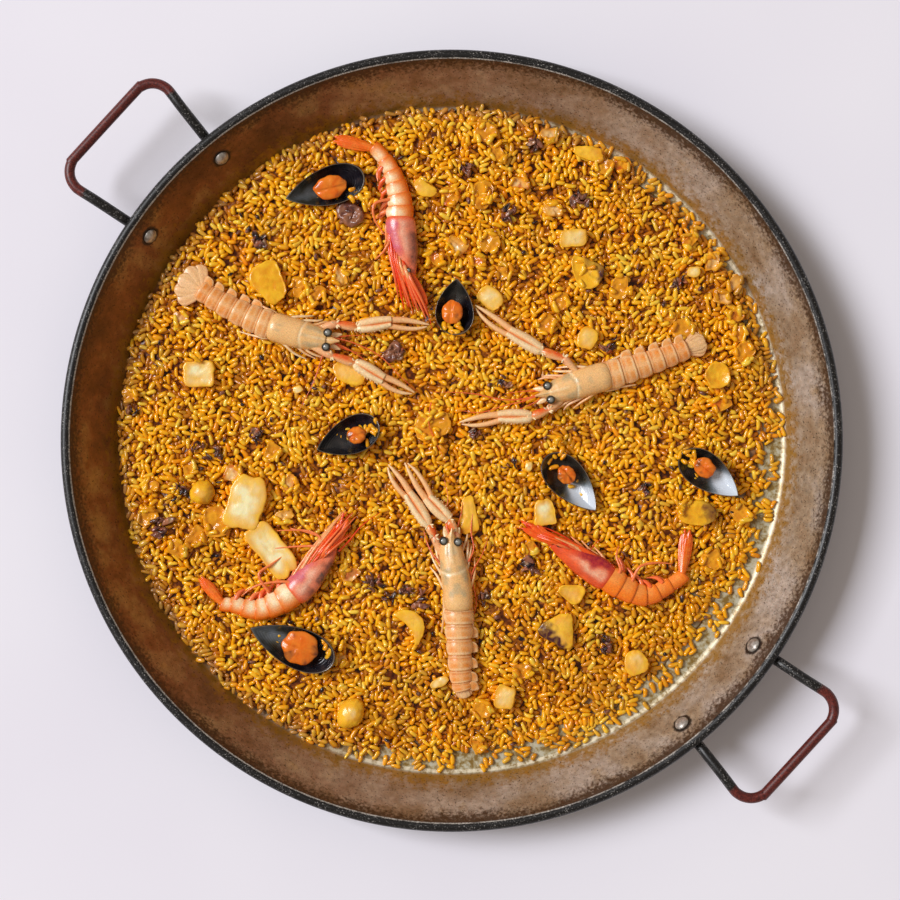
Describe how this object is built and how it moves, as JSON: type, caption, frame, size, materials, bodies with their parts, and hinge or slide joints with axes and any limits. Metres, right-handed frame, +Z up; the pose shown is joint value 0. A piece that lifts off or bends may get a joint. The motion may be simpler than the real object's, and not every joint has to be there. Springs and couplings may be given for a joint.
{
  "type": "seafood paella in its pan",
  "caption": "Wide shallow steel paella pan with loop handles, filled with saffron rice and topped with langoustines, prawns, half-shell mussels and squid.",
  "frame": {"origin": "centre of the pan's flat underside, on the surface it stands on", "axes": "+Z up; +X along the line through both handles, towards the handle at the lower right when the dish is seen from above with the upright langoustine's head up; +Y square to it"},
  "size_m": [0.7274, 0.5996, 0.0507],
  "materials": {
    "pan_enamel": "worn, heat-stained steel pan with speckled black enamel on its rim",
    "handle_rod": "black speckled enamel, worn to dark red on the grip",
    "rivet_steel": "polished domed heads",
    "rice": "cooked saffron rice, moist and glossy",
    "langoustine_shell": "cooked shell, pale peach with orange joints",
    "prawn_shell": "cooked shell, orange red with cream bands",
    "mussel_shell": "blue-black, glossy",
    "mussel_meat": "moist orange meat",
    "squid": "cooked white flesh stained with saffron",
    "onion": "soft translucent cooked onion and pepper",
    "tentacle": "dark purple cooked tentacle ends"
  },
  "bodies": {
    "root": {"pan": "pan_enamel", "handle_1": "handle_rod", "handle_2": "handle_rod", "rivet_1": "rivet_steel", "rivet_2": "rivet_steel", "rivet_3": "rivet_steel", "rivet_4": "rivet_steel", "rice": "rice", "langoustine_1": "langoustine_shell", "langoustine_2": "langoustine_shell", "langoustine_3": "langoustine_shell", "prawn_1": "prawn_shell", "prawn_2": "prawn_shell", "prawn_3": "prawn_shell", "mussel_shell_1": "mussel_shell", "mussel_shell_2": "mussel_shell", "mussel_shell_3": "mussel_shell", "mussel_shell_4": "mussel_shell", "mussel_shell_5": "mussel_shell", "mussel_shell_6": "mussel_shell", "mussel_meat_1": "mussel_meat", "mussel_meat_2": "mussel_meat", "mussel_meat_3": "mussel_meat", "mussel_meat_4": "mussel_meat", "mussel_meat_5": "mussel_meat", "mussel_meat_6": "mussel_meat", "squid_1": "squid", "squid_2": "squid", "squid_3": "squid", "squid_4": "squid", "squid_5": "squid", "squid_6": "squid", "squid_7": "squid", "squid_8": "squid", "squid_9": "squid", "squid_10": "squid", "squid_11": "squid", "squid_12": "squid", "squid_13": "squid", "squid_14": "squid", "squid_15": "squid", "squid_16": "squid", "squid_17": "squid", "squid_18": "squid", "squid_19": "squid", "squid_20": "squid", "squid_21": "squid", "squid_22": "squid", "onion_1": "onion", "onion_2": "onion", "onion_3": "onion", "onion_4": "onion", "onion_5": "onion", "onion_6": "onion", "onion_7": "onion", "onion_8": "onion", "onion_9": "onion", "tentacle_1": "tentacle", "tentacle_2": "tentacle"}
  },
  "joints": []
}
